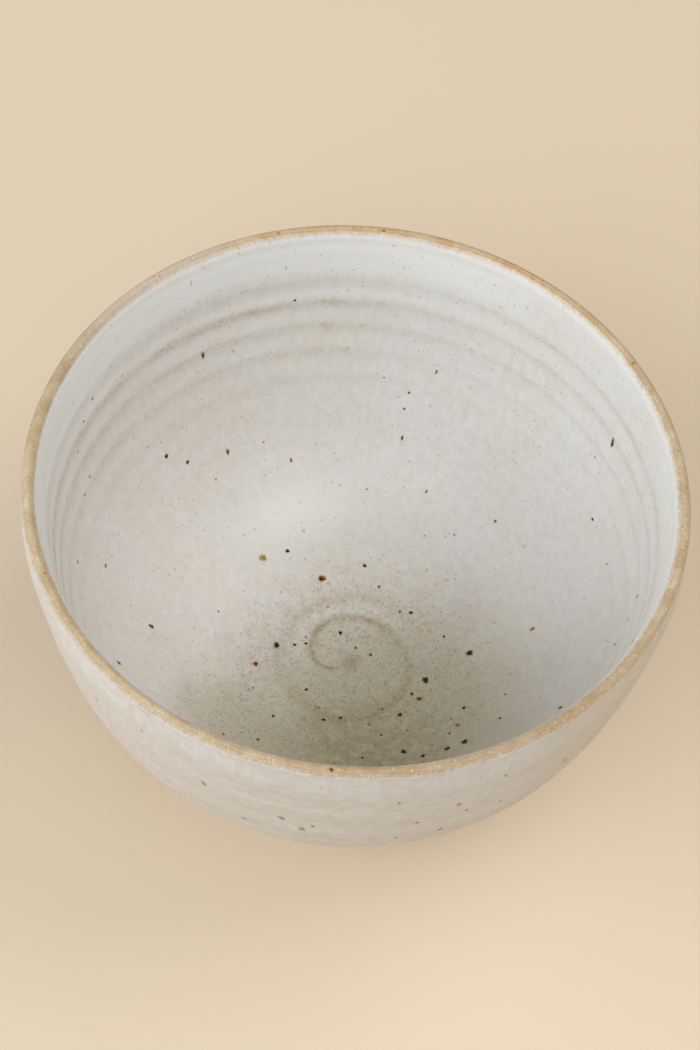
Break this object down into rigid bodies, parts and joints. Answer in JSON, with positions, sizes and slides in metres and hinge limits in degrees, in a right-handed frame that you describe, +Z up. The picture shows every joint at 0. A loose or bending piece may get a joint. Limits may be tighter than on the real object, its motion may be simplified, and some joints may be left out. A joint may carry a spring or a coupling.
{
  "type": "ceramic bowl",
  "caption": "Deep round wheel-thrown stoneware bowl with a bare tan lip, speckled pale satin glaze, soft throwing rings, a spiral in the well and a turned foot ring.",
  "frame": {"origin": "centre of the foot ring on the surface that the bowl stands on", "axes": "+Z up along the bowl's axis, +Y towards the side that is far from the viewer in the picture, +X to the viewer's right"},
  "size_m": [0.1608, 0.1608, 0.097],
  "materials": {
    "bare_clay": "matt, tan, unglazed and slightly mottled",
    "inner_glaze": "satin pale grey-white with iron speckle",
    "outer_glaze": "satin warm off-white with soft iron speckle",
    "recess_glaze": "satin off-white with iron speckle"
  },
  "bodies": {
    "root": {"clay_body": "bare_clay", "inner_glaze": "inner_glaze", "outer_glaze": "outer_glaze", "recess_glaze": "recess_glaze"}
  },
  "joints": []
}
